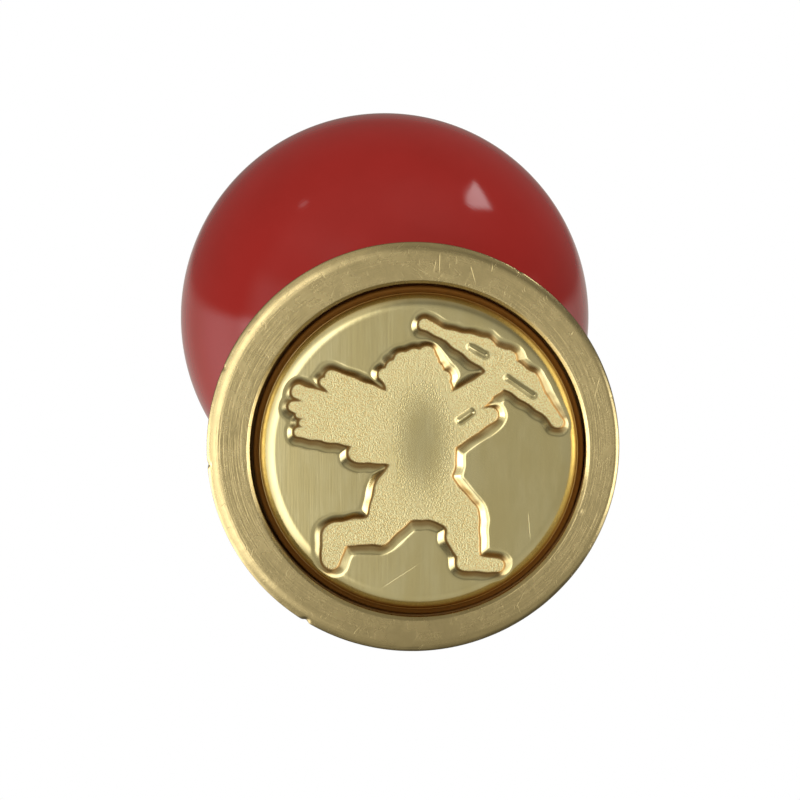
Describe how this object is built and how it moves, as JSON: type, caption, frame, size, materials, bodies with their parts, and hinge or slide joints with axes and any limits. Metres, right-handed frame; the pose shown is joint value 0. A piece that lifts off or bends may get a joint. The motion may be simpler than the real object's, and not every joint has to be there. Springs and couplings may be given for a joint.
{
  "type": "wax seal stamp",
  "caption": "Hand stamp for sealing wax: a tapered brass head with an engraved brass disc set in its rim, screwed to a glossy red turned wooden handle with a ball-shaped grip.",
  "frame": {"origin": "centre of the rim of the seal face, which the stamp stands on", "axes": "+Z along the stamp's axis from the seal face to the handle's ball; -Y is the top of the engraved figure and +X its right side, looking at the seal face"},
  "size_m": [0.027, 0.027, 0.08],
  "materials": {
    "head_brass": "turned, lightly scratched",
    "disc_brass": "brushed field, frosted engraving",
    "ferrule_brass": "polished",
    "stud_steel": "zinc plated, threaded",
    "red_lacquer": "opaque red gloss lacquer"
  },
  "bodies": {
    "head": {"seal_head": "head_brass", "die_disc": "disc_brass"},
    "collar": {"ferrule": "ferrule_brass"},
    "handle": {"wooden_handle": "red_lacquer", "stud": "stud_steel"}
  },
  "joints": [
    {"name": "screw_travel", "type": "slide", "parent": "head", "child": "collar", "axis": [0, 0, 1], "range_m": [0, 0.008]},
    {"name": "screw_turn", "type": "hinge", "parent": "collar", "child": "handle", "pos_m": [0, 0, 0.014], "axis": [0, 0, 1], "range_deg": [0, 2880]}
  ],
  "couplings": [
    {"joint": "screw_turn", "follows": "screw_travel", "rad_per_m": 6283.2}
  ]
}
